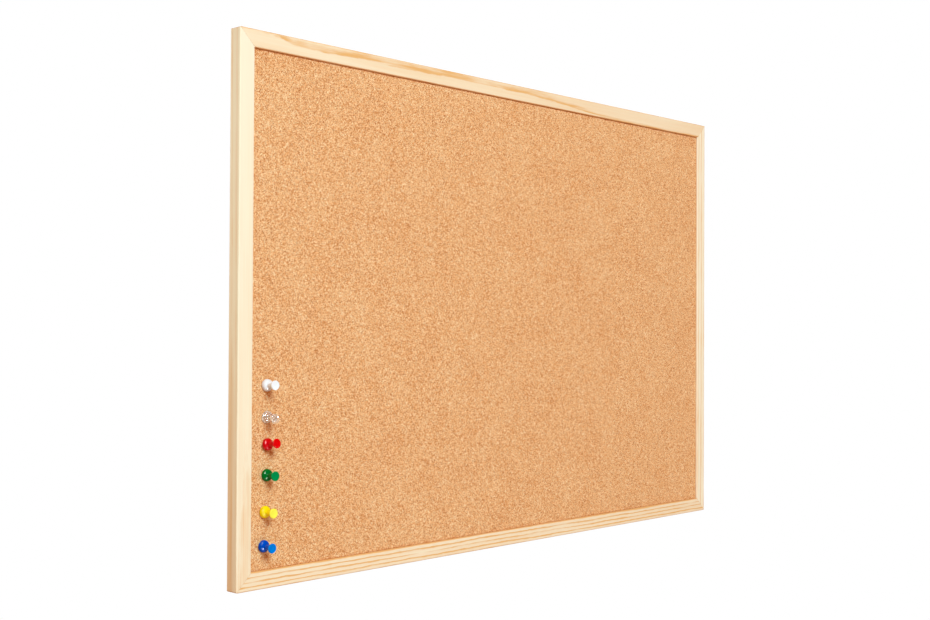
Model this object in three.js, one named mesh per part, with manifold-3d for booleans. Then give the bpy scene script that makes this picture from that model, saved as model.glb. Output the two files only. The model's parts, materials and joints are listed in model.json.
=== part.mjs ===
// A framed cork pin board with push pins, in millimetres.
// X runs to the right seen from the front, Y from the front towards the wall, and Z up.
// The origin lies on the wall plane, midway between the two hangers, at the line they hang by.

import * as THREE from "three";
import { mergeVertices } from "three/addons/utils/BufferGeometryUtils.js";
import Module from "manifold-3d";

const wasm = await Module();
wasm.setup();

// Board, over the frame
const boardWidth = 600;
const boardHeight = 400;

// Frame moulding, mitred at the corners
const faceWidth = 13.1;
const lipThickness = 2;
const rebateWidth = 5;
const sightEdgeRadius = 1;
const outerEdgeRadius = 1;
const backEdgeRadius = 0.6;
const cornerRadius = 1.5;
const glueLine = 0.1;

// Panel in the rebate, from the front to the back
const corkThickness = 1.5;
const coreThickness = 4;
const backingThickness = 0.7;
const backRecess = 3;
const panelClearance = 0.5;

// V-shaped corner nails, driven across the mitres from the back
const cornerNailThickness = 0.5;
const cornerNailDepth = 6;
const cornerNailSink = 0.3;
const cornerNailOuterCover = 1.6;
const cornerNailInnerCover = 1.6;

// Framer's points, driven into the rebate wall and lying on the backing
const pointWidth = 6;
const pointThickness = 0.5;
const pointTip = 3;
const pointCover = 3;
const pointReach = 7;
const longSidePoints = 3;
const shortSidePoints = 2;

// Clearance of everything driven into the wood
const driveClearance = 0.15;

// Sawtooth hangers on the back of the top rail
const hangerInset = 120;
const hangerLength = 40;
const hangerHeight = 7;
const hangerThickness = 0.8;
const hangerLift = 1.8;
const hangerTab = 8;
const hangerCornerRadius = 2;
const toothPitch = 2.4;
const toothDepth = 1.4;

// Round nails through the hanger tabs
const nailInset = 3.8;
const nailDiameter = 1.3;
const nailHeadDiameter = 3.2;
const nailHeadThickness = 0.7;
const nailLength = 8;
const nailPoint = 1.8;

// Push pin heads, from the flange up to the cap
const flangeDiameter = 9;
const flangeRim = 1;
const flangeChamfer = 0.4;
const domeHeight = 3.4;
const waistDiameter = 3.8;
const flareHeight = 2.6;
const capDiameter = 7;
const capThickness = 1.4;
const capChamfer = 0.35;
const headHeight = 11;

// Push pin needles
const needleDiameter = 1.1;
const needleLength = 8;
const needlePoint = 3;
const needleSeat = 6;
const needleClearance = 0.15;
const holeClearance = 0.3;
const pinGap = 0.3;

// Place of each pin on the cork, from the board's left and bottom edges, and its lean in degrees
const pins = [
  { name: "white", colour: 0xf2f2ef, left: 26.7, bottom: 145.5, yaw: -2, pitch: 1.5 },
  { name: "clear", colour: 0xe8eef0, left: 26.9, bottom: 122.8, yaw: -2.5, pitch: -4.5 },
  { name: "red", colour: 0xd40a10, left: 26.8, bottom: 102.9, yaw: 5.5, pitch: 7 },
  { name: "green", colour: 0x067a35, left: 27.1, bottom: 81, yaw: 0, pitch: 0 },
  { name: "yellow", colour: 0xf7d808, left: 25.4, bottom: 54.8, yaw: 1.5, pitch: -1 },
  { name: "blue", colour: 0x0a4fd0, left: 24.4, bottom: 30.5, yaw: 1, pitch: -3 },
];

// Facets of round forms
const arcSegments = 3;
const holeSegments = 6;
const headSegments = 20;
const needleSegments = 12;

// Derived sizes
const frameDepth = lipThickness + corkThickness + coreThickness + backingThickness + backRecess;
const corkFront = lipThickness - frameDepth;
const coreFront = corkFront + corkThickness;
const backingFront = coreFront + coreThickness;
const backingBack = backingFront + backingThickness;
const land = faceWidth - rebateWidth;
const panelWidth = boardWidth - 2 * (land + panelClearance);
const panelHeight = boardHeight - 2 * (land + panelClearance);
const pointBite = land - pointCover;
const hangerCentre = -land / 2;
const hangingLine = hangerCentre - hangerHeight / 2 + toothDepth;
const quarterTurn = Math.PI / 2;

// Solids for cutting

function solidOf(geometry) {
  const bare = geometry.clone();
  bare.deleteAttribute("normal");
  bare.deleteAttribute("uv");
  const merged = mergeVertices(bare, 1e-4);
  const index = merged.getIndex().array;
  const triangles = [];
  for (let i = 0; i < index.length; i += 3) {
    const [a, b, c] = index.subarray(i, i + 3);
    if (a !== b && b !== c && a !== c) {
      triangles.push(a, b, c);
    }
  }
  const vertProperties = new Float32Array(merged.getAttribute("position").array);
  return new wasm.Manifold(
    new wasm.Mesh({ numProp: 3, vertProperties, triVerts: new Uint32Array(triangles) }),
  );
}

function geometryOf(solid) {
  const mesh = solid.getMesh();
  const geometry = new THREE.BufferGeometry();
  geometry.setAttribute("position", new THREE.BufferAttribute(mesh.vertProperties, 3));
  geometry.setIndex(new THREE.BufferAttribute(mesh.triVerts, 1));
  geometry.computeVertexNormals();
  return geometry;
}

function cut(geometry, cutters) {
  let solid = solidOf(geometry);
  for (const cutter of cutters) {
    solid = solid.subtract(solidOf(cutter));
  }
  return geometryOf(solid);
}

function common(first, second) {
  return geometryOf(solidOf(first).intersect(solidOf(second)));
}

// A flat plate whose outline lies in X and Z, reaching forward from its back face
function plate(outline, thickness, back) {
  const geometry = new THREE.ExtrudeGeometry(outline, {
    depth: thickness,
    bevelEnabled: false,
    curveSegments: holeSegments,
  });
  return geometry.rotateX(quarterTurn).translate(0, back, 0);
}

function piece(name, geometry, colour, roughness, metalness) {
  const material = new THREE.MeshStandardMaterial({ color: colour, roughness, metalness });
  const mesh = new THREE.Mesh(geometry, material);
  mesh.name = name;
  return mesh;
}

function woodPiece(name, geometry) {
  return piece(name, geometry, 0xf2dfbb, 0.6, 0);
}

function steelPiece(name, geometry) {
  return piece(name, geometry, 0xb9bcc0, 0.35, 1);
}

// Corner nails, in a frame whose origin is the top left outer corner of the board

function cornerNailOutline(grow) {
  const start = cornerNailOuterCover - grow;
  const outer = land - cornerNailInnerCover + grow;
  const inner = land - cornerNailInnerCover - cornerNailThickness - grow;
  const outline = new THREE.Shape();
  outline.moveTo(start, -outer);
  outline.lineTo(outer, -outer);
  outline.lineTo(outer, -start);
  outline.lineTo(inner, -start);
  outline.lineTo(inner, -inner);
  outline.lineTo(start, -inner);
  return outline;
}

function cornerNail() {
  return plate(cornerNailOutline(0), cornerNailDepth, -cornerNailSink);
}

function cornerNailSlot() {
  const depth = cornerNailSink + cornerNailDepth + driveClearance;
  return plate(cornerNailOutline(driveClearance), depth + frameDepth, frameDepth);
}

// What is taken off to round the outer corner
function cornerWaste() {
  const outline = new THREE.Shape();
  outline.moveTo(-cornerRadius, -cornerRadius);
  outline.lineTo(0, -cornerRadius);
  outline.absarc(cornerRadius, -cornerRadius, cornerRadius, Math.PI, quarterTurn, true);
  outline.lineTo(cornerRadius, cornerRadius);
  outline.lineTo(-cornerRadius, cornerRadius);
  return plate(outline, 3 * frameDepth, frameDepth);
}

// Framer's points, in the frame of one side with its outer edge along X at Z = 0

function pointOutline(grow) {
  const half = pointWidth / 2 + grow;
  const outline = new THREE.Shape();
  outline.moveTo(0, -land + pointBite + 2 * grow);
  outline.lineTo(-half, -land + pointBite - pointTip + grow);
  outline.lineTo(-half, -land - pointReach - grow);
  outline.lineTo(half, -land - pointReach - grow);
  outline.lineTo(half, -land + pointBite - pointTip + grow);
  return outline;
}

function panelPoint(along) {
  return plate(pointOutline(0), pointThickness, backingBack + pointThickness).translate(along, 0, 0);
}

function panelPointSlot(along) {
  const thickness = pointThickness + 2 * driveClearance;
  const back = backingBack + pointThickness + driveClearance;
  return plate(pointOutline(driveClearance), thickness, back).translate(along, 0, 0);
}

function pointStations(length, count) {
  const spacing = length / count;
  return Array.from({ length: count }, (_, i) => (i + 0.5) * spacing - length / 2);
}

// Hanger nails and hangers, in the frame of the top side

function nailProfile(grow) {
  const radius = nailDiameter / 2 + grow;
  const head = nailHeadDiameter / 2;
  return [
    new THREE.Vector2(0, -nailLength - 2 * grow),
    new THREE.Vector2(radius, -nailLength + nailPoint),
    new THREE.Vector2(radius, 0),
    new THREE.Vector2(head, 0),
    new THREE.Vector2(head, nailHeadThickness * 0.6),
    new THREE.Vector2(head * 0.7, nailHeadThickness),
    new THREE.Vector2(0, nailHeadThickness),
  ];
}

function hangerNail(along) {
  const geometry = new THREE.LatheGeometry(nailProfile(0), needleSegments);
  return geometry.translate(along, hangerThickness, hangerCentre);
}

function hangerNailHole(along) {
  const geometry = new THREE.LatheGeometry(nailProfile(driveClearance), needleSegments);
  return geometry.translate(along, hangerThickness, hangerCentre);
}

// A strip with flat tabs and a bridge raised between two 45 degree bends
function hangerStrip() {
  const end = hangerLength / 2;
  const bend = end - hangerTab;
  const crown = bend - hangerLift;
  const shift = hangerThickness * Math.tan(Math.PI / 8);
  const front = [[-end, 0], [-bend, 0], [-crown, hangerLift], [crown, hangerLift], [bend, 0], [end, 0]];
  const back = [
    [end, hangerThickness],
    [bend + shift, hangerThickness],
    [crown + shift, hangerLift + hangerThickness],
    [-crown - shift, hangerLift + hangerThickness],
    [-bend - shift, hangerThickness],
    [-end, hangerThickness],
  ];
  const outline = new THREE.Shape([...front, ...back].map(([x, y]) => new THREE.Vector2(x, y)));
  const geometry = new THREE.ExtrudeGeometry(outline, { depth: 2 * hangerHeight, bevelEnabled: false });
  return geometry.translate(0, 0, -hangerHeight);
}

// The blank of the strip seen from behind: round corners, teeth below, a nail hole in each tab
function hangerBlank() {
  const end = hangerLength / 2;
  const half = hangerHeight / 2;
  const round = hangerCornerRadius;
  const toothed = hangerLength - 2 * (hangerTab + hangerLift);
  const teeth = Math.floor(toothed / toothPitch);
  const outline = new THREE.Shape();
  outline.moveTo(-end + round, -half);
  for (let i = 0; i < teeth; i += 1) {
    const tip = (i - teeth / 2) * toothPitch;
    outline.lineTo(tip, -half);
    outline.lineTo(tip + toothPitch / 2, -half + toothDepth);
  }
  outline.lineTo((teeth / 2) * toothPitch, -half);
  outline.absarc(end - round, -half + round, round, -quarterTurn, 0);
  outline.absarc(end - round, half - round, round, 0, quarterTurn);
  outline.absarc(-end + round, half - round, round, quarterTurn, Math.PI);
  outline.absarc(-end + round, -half + round, round, Math.PI, 3 * quarterTurn);
  for (const side of [-1, 1]) {
    const hole = new THREE.Path();
    hole.absarc(side * (end - nailInset), 0, nailDiameter / 2 + driveClearance, 0, 4 * quarterTurn);
    outline.holes.push(hole);
  }
  const reach = hangerLift + hangerThickness;
  return plate(outline, 3 * reach, 2 * reach);
}

function hanger(along) {
  return common(hangerStrip(), hangerBlank()).translate(along, 0, hangerCentre);
}

// Frame sides: a rebated moulding, its ends sheared to 45 degrees

function mouldingProfile() {
  const front = -frameDepth;
  const sight = sightEdgeRadius;
  const outer = outerEdgeRadius;
  const rear = backEdgeRadius;
  const profile = new THREE.Shape();
  profile.moveTo(rear, 0);
  profile.lineTo(land, 0);
  profile.lineTo(land, corkFront);
  profile.lineTo(faceWidth, corkFront);
  profile.absarc(faceWidth - sight, front + sight, sight, 0, -quarterTurn, true);
  profile.absarc(outer, front + outer, outer, -quarterTurn, -Math.PI, true);
  profile.absarc(rear, -rear, rear, Math.PI, quarterTurn, true);
  return profile;
}

function mitredMoulding(length) {
  const geometry = new THREE.ExtrudeGeometry(mouldingProfile(), {
    depth: length,
    bevelEnabled: false,
    curveSegments: arcSegments,
  });
  const position = geometry.getAttribute("position");
  for (let i = 0; i < position.count; i += 1) {
    const mitre = position.getX(i) + glueLine / Math.SQRT2;
    const far = position.getZ(i) > length / 2;
    position.setZ(i, far ? length - mitre : mitre);
  }
  return geometry.rotateY(quarterTurn).translate(-length / 2, 0, 0);
}

function frameSide(length, stations, nailPlaces) {
  const end = length / 2;
  const cutters = [
    cornerNailSlot().translate(-end, 0, 0),
    cornerNailSlot().rotateY(quarterTurn).translate(end, 0, 0),
    cornerWaste().translate(-end, 0, 0),
    cornerWaste().rotateY(quarterTurn).translate(end, 0, 0),
    ...stations.map(panelPointSlot),
    ...nailPlaces.map(hangerNailHole),
  ];
  return cut(mitredMoulding(length), cutters);
}

// Push pins, in a frame with the axis along Y, the flange's underside at 0 and the cap above

function pinHeadProfile() {
  const bore = needleDiameter / 2 + needleClearance;
  const flange = flangeDiameter / 2;
  const waist = waistDiameter / 2;
  const cap = capDiameter / 2;
  const capBase = headHeight - capThickness;
  const profile = new THREE.Path();
  profile.moveTo(0, needleSeat + needleClearance);
  profile.lineTo(bore, needleSeat + needleClearance);
  profile.lineTo(bore, 0);
  profile.lineTo(flange - flangeChamfer, 0);
  profile.lineTo(flange, flangeChamfer);
  profile.lineTo(flange, flangeRim);
  profile.absellipse(waist, flangeRim, flange - waist, domeHeight - flangeRim, 0, quarterTurn);
  profile.lineTo(waist, capBase - flareHeight);
  profile.quadraticCurveTo(waist, capBase, cap - capChamfer, capBase);
  profile.lineTo(cap, capBase + capChamfer);
  profile.lineTo(cap, headHeight - capChamfer);
  profile.lineTo(cap - capChamfer, headHeight);
  profile.lineTo(0, headHeight);
  return profile.getPoints(arcSegments);
}

function needleProfile(grow, top) {
  const radius = needleDiameter / 2 + grow;
  return [
    new THREE.Vector2(0, -needleLength - 2 * grow),
    new THREE.Vector2(radius, -needleLength + needlePoint),
    new THREE.Vector2(radius, top),
    new THREE.Vector2(0, top),
  ];
}

// The pin's frame on the board: its axis leans, and the flange's lowest edge clears the cork
function pinFrame(pin) {
  const yaw = THREE.MathUtils.degToRad(pin.yaw);
  const pitch = THREE.MathUtils.degToRad(pin.pitch);
  const level = Math.cos(pitch);
  const axis = new THREE.Vector3(Math.sin(yaw) * level, -Math.cos(yaw) * level, Math.sin(pitch));
  const lean = axis.angleTo(new THREE.Vector3(0, -1, 0));
  const standOff = (flangeDiameter / 2) * Math.sin(lean) + pinGap;
  const group = new THREE.Group();
  group.position.set(pin.left - boardWidth / 2, corkFront, pin.bottom - boardHeight / 2);
  group.position.addScaledVector(axis, standOff);
  group.quaternion.setFromUnitVectors(new THREE.Vector3(0, 1, 0), axis);
  group.updateMatrix();
  return group;
}

function pinHole(frame) {
  return new THREE.LatheGeometry(needleProfile(holeClearance, 0), needleSegments).applyMatrix4(frame.matrix);
}

function pinParts(pin) {
  const head = new THREE.LatheGeometry(pinHeadProfile(), headSegments);
  const needle = new THREE.LatheGeometry(needleProfile(0, needleSeat), needleSegments);
  const headPiece = piece(`pin_${pin.name}_head`, head, pin.colour, 0.15, 0);
  if (pin.name === "clear") {
    headPiece.material.transparent = true;
    headPiece.material.opacity = 0.35;
  }
  return [headPiece, steelPiece(`pin_${pin.name}_needle`, needle)];
}

// Panel sheets with the pin holes

function sheet(front, thickness, holes) {
  const blank = new THREE.BoxGeometry(panelWidth, thickness, panelHeight);
  return cut(blank.translate(0, front + thickness / 2, 0), holes);
}

// Assembly, about the middle of the board on the wall plane

const board = new THREE.Group();
const assembly = new THREE.Group();
assembly.position.z = -(boardHeight / 2 + hangingLine);
board.add(assembly);

const hangers = [
  { name: "left", along: hangerInset - boardWidth / 2, out: -1 },
  { name: "right", along: boardWidth / 2 - hangerInset, out: 1 },
];
const nailReach = hangerLength / 2 - nailInset;
const hangerNails = hangers.flatMap(({ name, along, out }) => [
  { name: `hanger_nail_${name}_outer`, along: along + out * nailReach },
  { name: `hanger_nail_${name}_inner`, along: along - out * nailReach },
]);

const sides = [
  { name: "top", member: "rail", length: boardWidth, count: longSidePoints, nails: hangerNails },
  { name: "right", member: "stile", length: boardHeight, count: shortSidePoints, nails: [] },
  { name: "bottom", member: "rail", length: boardWidth, count: longSidePoints, nails: [] },
  { name: "left", member: "stile", length: boardHeight, count: shortSidePoints, nails: [] },
];
sides.forEach((side, turn) => {
  const outward = new THREE.Vector2(0, 1).rotateAround(new THREE.Vector2(), -turn * quarterTurn);
  const group = new THREE.Group();
  group.position.set((outward.x * boardWidth) / 2, 0, (outward.y * boardHeight) / 2);
  group.rotation.y = turn * quarterTurn;
  const stations = pointStations(side.length, side.count);
  const nailPlaces = side.nails.map((nail) => nail.along);
  group.add(woodPiece(`${side.name}_${side.member}`, frameSide(side.length, stations, nailPlaces)));
  stations.forEach((along, i) => {
    group.add(steelPiece(`panel_point_${side.name}_${i + 1}`, panelPoint(along)));
  });
  side.nails.forEach((nail) => {
    group.add(steelPiece(nail.name, hangerNail(nail.along)));
  });
  if (side.name === "top") {
    hangers.forEach(({ name, along }) => group.add(steelPiece(`hanger_${name}`, hanger(along))));
  }
  assembly.add(group);
});

const corners = [
  { name: "top_left", x: -1, z: 1 },
  { name: "top_right", x: 1, z: 1 },
  { name: "bottom_right", x: 1, z: -1 },
  { name: "bottom_left", x: -1, z: -1 },
];
corners.forEach((corner, turn) => {
  const group = new THREE.Group();
  group.position.set((corner.x * boardWidth) / 2, 0, (corner.z * boardHeight) / 2);
  group.rotation.y = turn * quarterTurn;
  group.add(steelPiece(`corner_nail_${corner.name}`, cornerNail()));
  assembly.add(group);
});

const pinFrames = pins.map(pinFrame);
const pinHoles = pinFrames.map(pinHole);
assembly.add(piece("cork_sheet", sheet(corkFront, corkThickness, pinHoles), 0xdba468, 0.9, 0));
assembly.add(piece("core_board", sheet(coreFront, coreThickness, pinHoles), 0xb08a5e, 0.95, 0));
assembly.add(piece("backing_sheet", sheet(backingFront, backingThickness, pinHoles), 0xc2a57c, 0.8, 0));
pins.forEach((pin, i) => {
  pinFrames[i].add(...pinParts(pin));
  assembly.add(pinFrames[i]);
});

export default board;
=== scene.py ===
"""A pine-framed cork pin board with push pins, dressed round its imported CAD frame."""

import json
import math
from collections import namedtuple

import bmesh
import bpy
from bpy.props import FloatProperty, FloatVectorProperty, IntProperty, PointerProperty
from mathutils import Matrix, Vector


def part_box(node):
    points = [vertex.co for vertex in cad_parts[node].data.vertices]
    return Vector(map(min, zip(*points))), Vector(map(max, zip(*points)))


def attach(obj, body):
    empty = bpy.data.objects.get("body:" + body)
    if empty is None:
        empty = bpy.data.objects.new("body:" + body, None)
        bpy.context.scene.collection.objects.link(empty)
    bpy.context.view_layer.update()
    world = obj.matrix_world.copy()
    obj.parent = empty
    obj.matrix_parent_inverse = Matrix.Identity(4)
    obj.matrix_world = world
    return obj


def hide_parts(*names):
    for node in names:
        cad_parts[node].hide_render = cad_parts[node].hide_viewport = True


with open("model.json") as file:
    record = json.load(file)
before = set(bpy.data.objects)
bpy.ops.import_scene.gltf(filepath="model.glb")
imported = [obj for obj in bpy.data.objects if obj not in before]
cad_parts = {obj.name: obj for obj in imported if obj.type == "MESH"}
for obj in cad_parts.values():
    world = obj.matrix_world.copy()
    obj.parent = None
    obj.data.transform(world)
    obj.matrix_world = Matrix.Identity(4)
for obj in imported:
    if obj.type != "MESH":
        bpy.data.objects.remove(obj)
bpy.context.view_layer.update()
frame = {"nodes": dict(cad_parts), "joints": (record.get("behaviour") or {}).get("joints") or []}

bl_info = {
    "name": "Cork Pin Board",
    "version": (1, 0, 0),
    "blender": (4, 5, 0),
    "location": "3D View > Sidebar > Pin Board",
    "description": "Dresses a pine-framed cork board and its push pins round the CAD frame",
    "category": "Object",
}

MM = 0.001
QUARTER = math.pi / 2
WHITE = (1, 1, 1, 1)

# How near two points are one: in a finished mesh, and where a tree joins its halves
WELD = MM / 1000
SEAM = MM / 100

# The board's outline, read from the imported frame
LEFT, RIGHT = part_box("left_stile")[0].x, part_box("right_stile")[1].x
BOTTOM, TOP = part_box("bottom_rail")[0].z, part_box("top_rail")[1].z
FRONT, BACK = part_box("top_rail")[0].y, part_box("top_rail")[1].y
FACE_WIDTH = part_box("left_stile")[1].x - LEFT
CORK_LOW, CORK_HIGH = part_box("cork_sheet")
BACKING_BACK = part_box("backing_sheet")[1].y
MIDDLE_Z = (BOTTOM + TOP) / 2

# The frame's sides: quarter turns from the top, length, middle of the outer edge, and how many
# framer's points hold the panel in
Side = namedtuple("Side", "name turn length place points")
SIDES = (
    Side("top_rail", 0, RIGHT - LEFT, Vector((0, 0, TOP)), 3),
    Side("right_stile", 1, TOP - BOTTOM, Vector((RIGHT, 0, MIDDLE_Z)), 2),
    Side("bottom_rail", 2, RIGHT - LEFT, Vector((0, 0, BOTTOM)), 3),
    Side("left_stile", 3, TOP - BOTTOM, Vector((LEFT, 0, MIDDLE_Z)), 2),
)
HANGERS = ("left", "right")
PINS = ("white", "clear", "red", "green", "yellow", "blue")

# How each stick was cut from its log, in millimetres along it, across its face and into it.
# Rings lie spacing apart round the pith, from phase on, and are pale up to late; slope and dips
# bend them along the stick, and ragged frays them. Warmth tints the two ends, edges the outer
# edge and the edge at the cork, and heart the stretches whose outer side is browner. The tint at
# the edge by the cork is partly the wood's own and partly painted shade on that rounded edge.
Grain = namedtuple(
    "Grain", "turn place pith spacing phase late ragged warmth contrast edges seed "
    "slope dips heart", defaults=(0.0, (), ()))
GRAINS = {
    "top_rail": Grain(
        turn=0, place=(-LEFT, TOP, -FRONT), pith=(-3, 29.2), spacing=5.0, phase=0.066, late=0.64,
        ragged=1.6, warmth=(0.3, 0.38), contrast=0.7, edges=(0.45, 0.6), seed=1.0,
        dips=((-1.1, 34, 52), (-3.6, 320, 470))),
    "bottom_rail": Grain(
        turn=0, place=(-LEFT, BOTTOM, -FRONT), pith=(45, 18), spacing=3.05, phase=0.0, late=0.5,
        ragged=3, warmth=(0.23, 0.27), contrast=1.3, edges=(0.3, 0.6), seed=2.0),
    "left_stile": Grain(
        turn=1, place=(-BOTTOM, -LEFT, -FRONT), pith=(9, 45), spacing=5.0, phase=0.82, late=0.4,
        ragged=1.5, warmth=(0.13, 0.02), contrast=0.3, edges=(0.0, 0.6), seed=3.0,
        slope=0.0075, heart=((230, 90, 0.45),)),
    "right_stile": Grain(
        turn=-1, place=(TOP, RIGHT, -FRONT), pith=(40, 20), spacing=4.6, phase=0.2, late=0.4,
        ragged=2, warmth=(-0.02, 0.06), contrast=0.6, edges=(0.15, 0.0), seed=4.0, slope=0.002),
}

# How far the rings waver to and fro, in millimetres
RING_SWAY = 3

# Noises of the pine: waves to the millimetre along and across the stick, and detail
PINE_NOISES = {
    "waver": (0.006, 0.03, 2.0),
    "ragged": (0.03, 0.2, 3.0),
    "frayed": (0.12, 0.8, 2.0),
    "fibre": (0.05, 4.0, 3.0),
    "streak": (0.012, 0.9, 3.0),
    "fleck": (0.16, 7.0, 1.0),
    "broad": (0.007, 0.1, 1.0),
    "patch": (0.025, 0.25, 2.0),
}

# Heights on a push pin, in millimetres, between which the dome's colour gives way to the cap's.
# The cap's lighter colour is painted light, for the light that comes through the thin cap.
DOME_COLOUR_END, CAP_COLOUR_START = 7.5, 10.2

# Facets round the hanger nails, and round the holes cut for them and for the needles
NAIL_STEPS, NAIL_HOLE_STEPS, PIN_HOLE_STEPS = 32, 16, 20

# Lamps, in metres: those that light the board, and panels that the pins mirror
Lamp = namedtuple("Lamp", "name place aim size")
BOARD_MIDDLE = (0, 0, MIDDLE_Z)
PINS_MIDDLE = (-0.273, -0.01, -0.3)
LIGHTS = (
    Lamp("key", (-1.27, -3.21, 1.86), BOARD_MIDDLE, (1.5, 1.5)),
    Lamp("side", (-0.7, 0.12, -0.1), BOARD_MIDDLE, (0.25, 0.25)),
    Lamp("back", (0.6, 2.2, 0.8), BOARD_MIDDLE, (1.0, 1.0)),
)
GLINTS = (
    Lamp("upper_glint", (-1.08, -0.82, 0.58), PINS_MIDDLE, (0.5, 0.95)),
    Lamp("lower_glint", (-0.14, -1.21, -1.05), PINS_MIDDLE, (0.55, 0.35)),
)

# The floor's radius in metres, the radii between which it fades out, and its glow when seen
FLOOR_RADIUS = 2.2
FLOOR_FADE = (1.2, 2.15)
FLOOR_GLOW = 0.4

# Where, from front to back, the mirrored room gives way to the white backdrop
ROOM_EDGE = (0.1, 0.4)
SENSOR_WIDTH = 36


# Node graphs

class Wire:
    """An output socket of a graph. Arithmetic on wires and numbers adds Math nodes."""

    def __init__(self, graph, socket):
        self.graph = graph
        self.socket = socket

    def __add__(self, other):
        return self.graph.math("ADD", self, other)

    def __radd__(self, other):
        return self.graph.math("ADD", other, self)

    def __sub__(self, other):
        return self.graph.math("SUBTRACT", self, other)

    def __rsub__(self, other):
        return self.graph.math("SUBTRACT", other, self)

    def __mul__(self, other):
        return self.graph.math("MULTIPLY", self, other)

    def __rmul__(self, other):
        return self.graph.math("MULTIPLY", other, self)

    def __truediv__(self, other):
        return self.graph.math("DIVIDE", self, other)

    def __rtruediv__(self, other):
        return self.graph.math("DIVIDE", other, self)

    def __neg__(self):
        return self.graph.math("MULTIPLY", self, -1.0)


class Graph:
    """A node tree. Every node apart from arithmetic comes from add()."""

    def __init__(self, tree):
        self.tree = tree

    def add(self, kind, settings=None, inputs=None, output=None):
        """One output of a new node, whose settings are set before its values and links."""
        node = self.tree.nodes.new(kind)
        for name, value in (settings or {}).items():
            setattr(node, name, value)
        self.fill(node, inputs or {})
        return Wire(self, self.pick(node.outputs, output))

    def fill(self, node, inputs):
        """Sets or links a node's sockets. A list links several wires to one socket."""
        for key, value in inputs.items():
            socket = self.pick(node.inputs, key)
            for item in value if isinstance(value, list) else [value]:
                if isinstance(item, Wire):
                    self.tree.links.new(item.socket, socket)
                else:
                    socket.default_value = item

    @staticmethod
    def pick(sockets, key):
        """A socket by its number, by its name, or the first that is in use."""
        if isinstance(key, int):
            return sockets[key]
        return next(s for s in sockets if s.enabled and key in (None, s.name))

    def math(self, operation, *values):
        """A Math node of values in order."""
        return self.add("ShaderNodeMath", {"operation": operation}, dict(enumerate(values)))

    def vector(self, operation, *values):
        """A Vector Math node of vectors in order."""
        return self.add("ShaderNodeVectorMath", {"operation": operation}, dict(enumerate(values)))

    def scaled(self, vector, amount):
        """A vector or colour times one value."""
        return self.add(
            "ShaderNodeVectorMath", {"operation": "SCALE"}, {"Vector": vector, "Scale": amount})

    def combine(self, x, y, z):
        """A vector of three values."""
        return self.add("ShaderNodeCombineXYZ", inputs={"X": x, "Y": y, "Z": z})

    def split(self, vector):
        """The three values of a vector or colour."""
        first = self.add("ShaderNodeSeparateXYZ", inputs={"Vector": vector})
        return [Wire(self, socket) for socket in first.socket.node.outputs]

    def mix(self, factor, a, b):
        """A colour between two others."""
        return self.add(
            "ShaderNodeMix", {"data_type": "RGBA"}, {"Factor": factor, "A": a, "B": b})

    def rise(self, value, low, high):
        """A smooth step from 0 at low to 1 at high."""
        return self.add(
            "ShaderNodeMapRange", {"interpolation_type": "SMOOTHSTEP"},
            {"Value": value, "From Min": low, "From Max": high})

    def noise(self, vector, detail=2.0, roughness=0.5, seed=0.0):
        """A soft noise of 0 to 1, one wave to the unit."""
        return self.add(
            "ShaderNodeTexNoise", {"noise_dimensions": "4D"},
            {"Vector": vector, "W": seed, "Scale": 1.0, "Detail": detail, "Roughness": roughness})

    def cells(self, vector, feature="F1", output="Distance"):
        """Irregular cells, about one to the unit."""
        return self.add(
            "ShaderNodeTexVoronoi", {"feature": feature},
            {"Vector": vector, "Scale": 1.0}, output)

    def warped(self, vector, scale, amount):
        """Coordinates pushed about by a soft noise."""
        push = self.add(
            "ShaderNodeTexNoise", inputs={"Vector": vector, "Scale": scale, "Detail": 2.0},
            output="Color")
        centred = self.vector("SUBTRACT", push, (0.5, 0.5, 0.5))
        return self.vector("ADD", vector, self.scaled(centred, amount))

    def object_mm(self):
        """The piece's own coordinates in millimetres."""
        return self.scaled(self.add("ShaderNodeTexCoord", output="Object"), 1 / MM)

    def bump(self, height, depth, strength=1.0):
        """A normal for a height of 0 to 1 over a depth in metres."""
        return self.add(
            "ShaderNodeBump", inputs={"Strength": strength, "Distance": depth, "Height": height})


def linear(red, green, blue):
    """A display colour of 0 to 255 as a linear one."""
    def channel(value):
        share = value / 255
        return share / 12.92 if share <= 0.04045 else ((share + 0.055) / 1.055) ** 2.4
    return channel(red), channel(green), channel(blue)


def opaque(colour):
    """A colour with full alpha, as colour sockets take it."""
    return (*colour, 1.0)


def blank(name):
    """A new material, its graph and its shader."""
    material = bpy.data.materials.new(name)
    material.use_nodes = True
    return material, Graph(material.node_tree), material.node_tree.nodes["Principled BSDF"]


# Finishes

def growth_rings(graph, grain, coordinates, streaks):
    """Lines of latewood, from 0 to 1, by the distance from the pith."""
    along, across, depth = coordinates
    rough = (streaks("ragged") + streaks("frayed") * 0.5) * grain.ragged
    sideways = across - grain.pith[0] + streaks("waver") * RING_SWAY + rough * 0.4
    drift = along * grain.slope
    for fall, start, end in grain.dips:
        drift = drift + graph.rise(along, start, end) * fall
    inwards = depth - grain.pith[1] - drift + rough
    radius = graph.math("SQRT", sideways * sideways + inwards * inwards)
    ring = graph.math("FRACT", radius / grain.spacing + grain.phase)
    return graph.rise(ring, grain.late, 0.94) * (1 - graph.rise(ring, 0.92, 1.0))


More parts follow.
